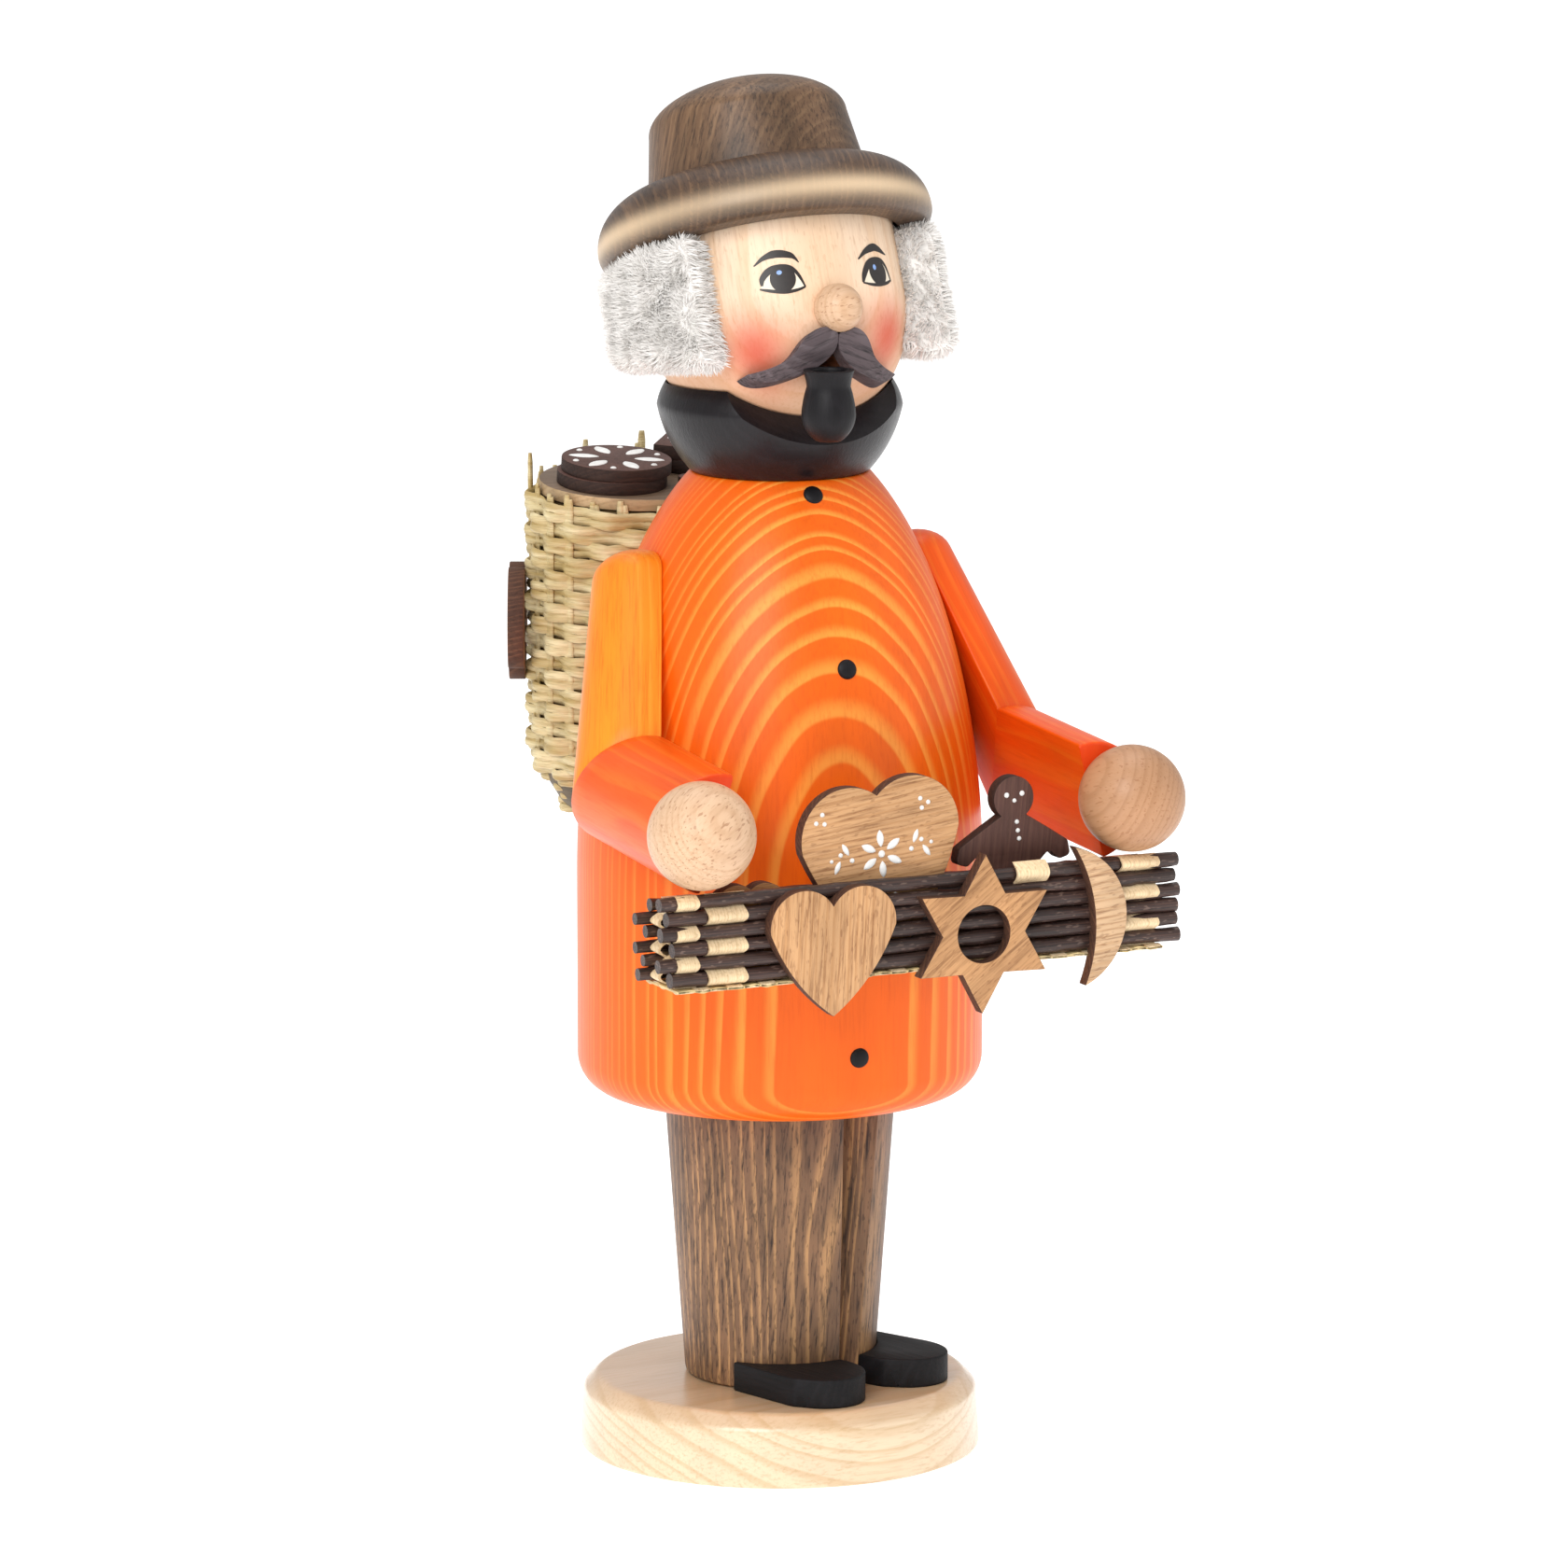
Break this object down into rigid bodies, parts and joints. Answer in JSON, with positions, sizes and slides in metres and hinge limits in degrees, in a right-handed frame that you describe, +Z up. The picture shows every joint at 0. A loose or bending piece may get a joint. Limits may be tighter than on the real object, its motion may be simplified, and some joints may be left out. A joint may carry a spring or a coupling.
{
  "type": "german incense smoker",
  "caption": "Turned wooden smoking figure of a gingerbread seller: its hollow coat lifts off the legs over an incense plate, and smoke leaves by the mouth.",
  "frame": {"origin": "on the turning axis of the base and the coat, at the underside of the base plate", "axes": "+Z up along the turning axis, -Y the way the figure looks, +X its left hand"},
  "size_m": [0.0782, 0.1064, 0.1888],
  "materials": {
    "natural_beech": "satin lacquer",
    "natural_limewood": "matt, bare",
    "orange_glaze": "satin glaze",
    "brown_stain": "satin stain",
    "black_paint": "matt paint",
    "charcoal_stain": "matt stain",
    "grey_pile": "soft pile",
    "tinplate": "bright tin",
    "nail_steel": "bright",
    "willow_bark": "bark on",
    "split_cane": "raw",
    "plaited_straw": "raw",
    "light_plywood": "laser cut, burnt edge",
    "gingerbread_stain": "matt stain"
  },
  "bodies": {
    "stand": {"base_plate": "natural_beech", "leg_dowel": "natural_beech", "trousers": "brown_stain", "right_shoe": "black_paint", "left_shoe": "black_paint", "incense_plate": "tinplate", "plate_nail": "nail_steel"},
    "figure": {"coat": "orange_glaze", "coat_buttons": "black_paint", "collar": "black_paint", "neck_dowel": "natural_beech", "head": "natural_limewood", "nose": "natural_beech", "moustache_right": "charcoal_stain", "moustache_left": "charcoal_stain", "pipe": "black_paint", "hat_brim": "brown_stain", "hat_crown": "brown_stain", "hat_dowel": "natural_beech", "hair_band": "grey_pile", "right_upper_arm": "orange_glaze", "left_upper_arm": "orange_glaze", "right_forearm": "orange_glaze", "left_forearm": "orange_glaze", "right_hand": "natural_beech", "left_hand": "natural_beech", "shoulder_dowels": "natural_beech", "tray_front_sticks": "willow_bark", "tray_back_sticks": "willow_bark", "tray_mat": "split_cane", "tray_front_canes": "split_cane", "tray_back_canes": "split_cane", "tray_end_canes": "split_cane", "small_heart": "light_plywood", "star": "light_plywood", "moon": "light_plywood", "large_heart": "light_plywood", "gingerbread_man": "gingerbread_stain", "tray_pretzel": "light_plywood", "basket": "plaited_straw", "basket_stakes": "plaited_straw", "basket_board": "gingerbread_stain", "gingerbread_disc_lower": "gingerbread_stain", "gingerbread_disc_upper": "gingerbread_stain", "gingerbread_diamonds": "gingerbread_stain", "gingerbread_biscuit": "gingerbread_stain", "basket_pretzel": "gingerbread_stain"}
  },
  "joints": [
    {"name": "figure_lift", "type": "slide", "parent": "stand", "child": "figure", "axis": [0, 0, 1], "range_m": [0, 0.06]}
  ]
}
